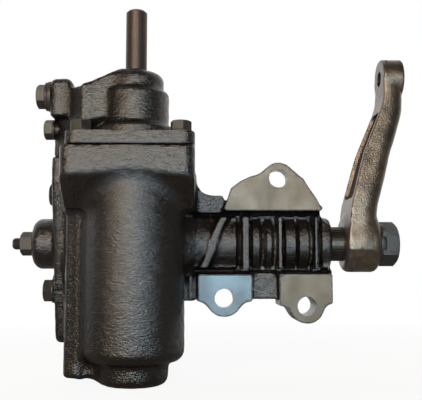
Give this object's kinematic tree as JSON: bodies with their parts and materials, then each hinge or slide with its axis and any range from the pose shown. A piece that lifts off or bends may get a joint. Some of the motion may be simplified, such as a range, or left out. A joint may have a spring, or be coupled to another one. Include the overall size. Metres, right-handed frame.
{
  "type": "power steering gearbox",
  "caption": "Upright recirculating-ball power steering gearbox with a three-lug cast housing, a splined input shaft, a sector shaft and a cranked pitman arm",
  "frame": {"origin": "centre of the upper mounting hole, in the plane of the machined mounting pads", "axes": "+Z along the input shaft towards its serrated end, -Y out of the mounting pads towards the vehicle's frame, +X along the sector shaft towards the pitman arm"},
  "size_m": [0.3248, 0.142, 0.2854],
  "materials": {
    "cast_black": "glossy black paint over rough casting",
    "dark_steel": "dark oiled steel",
    "forged": "dark bronze tinted forged steel",
    "bright_steel": "ground steel",
    "bar_steel": "spring steel",
    "bearing_steel": "polished bearing steel",
    "seal_black": "matt",
    "ring_ptfe": "bronze filled sealing ring",
    "gasket_grey": "fibre gasket",
    "input_steel": "dark brown steel"
  },
  "bodies": {
    "housing": {"gear_housing": "cast_black", "valve_housing": "cast_black", "valve_housing_bolts": "dark_steel", "valve_housing_seals": "seal_black", "side_cover": "cast_black", "side_cover_gasket": "gasket_grey", "side_cover_bolts": "dark_steel", "passage_plug": "dark_steel", "port_plugs": "dark_steel", "port_washers": "dark_steel", "adjusting_screw": "dark_steel", "adjusting_shim": "bright_steel", "lock_nut": "dark_steel", "cover_bearing_shell": "bearing_steel", "cover_bearing_needles": "bearing_steel", "tube_bearing_shells": "bearing_steel", "tube_bearing_needles": "bearing_steel", "sector_oil_seal": "seal_black", "sector_seal_washer": "bright_steel", "sector_snap_ring": "bright_steel", "sector_dust_seal": "seal_black", "input_bearing_outer": "bearing_steel", "input_bearing_balls": "bearing_steel", "input_oil_seal": "seal_black", "input_snap_ring": "bright_steel", "input_dust_cover": "seal_black", "bearing_retainer": "bright_steel", "thrust_fixed_races": "bearing_steel", "thrust_balls": "bearing_steel"},
    "sector": {"sector_shaft": "bright_steel", "pitman_arm": "forged", "pitman_washer": "dark_steel", "pitman_nut": "dark_steel"},
    "piston": {"power_piston": "bright_steel", "piston_ring": "ring_ptfe", "recirculating_balls": "bearing_steel", "ball_return_guide": "bright_steel", "guide_clamp": "bright_steel", "guide_clamp_screws": "bright_steel"},
    "worm": {"worm_shaft": "bright_steel", "valve_sleeve": "bright_steel", "valve_sleeve_rings": "ring_ptfe", "sleeve_pin": "bright_steel", "torsion_bar": "bar_steel", "lower_torsion_pin": "bright_steel", "thrust_turning_races": "bearing_steel"},
    "input": {"input_shaft": "input_steel", "upper_torsion_pin": "bright_steel", "input_bearing_inner": "bearing_steel"}
  },
  "joints": [
    {"name": "sector_turn", "type": "hinge", "parent": "housing", "child": "sector", "pos_m": [-0.1127, 0.027, -0.0519], "axis": [1, 0, 0], "range_deg": [-40, 40]},
    {"name": "piston_slide", "type": "slide", "parent": "housing", "child": "piston", "axis": [0, 0, 1], "range_m": [-0.0189, 0.0189]},
    {"name": "worm_turn", "type": "hinge", "parent": "housing", "child": "worm", "pos_m": [-0.1127, -0.024, -0.0519], "axis": [0, 0, 1], "range_deg": [-680, 680]},
    {"name": "valve_twist", "type": "hinge", "parent": "worm", "child": "input", "pos_m": [-0.1127, -0.024, -0.0519], "axis": [0, 0, 1], "range_deg": [-4, 4], "stiffness_Nm_per_rad": 85}
  ],
  "couplings": [
    {"joint": "piston_slide", "follows": "sector_turn", "m_per_rad": -0.027},
    {"joint": "worm_turn", "follows": "sector_turn", "ratio": 16.965}
  ]
}
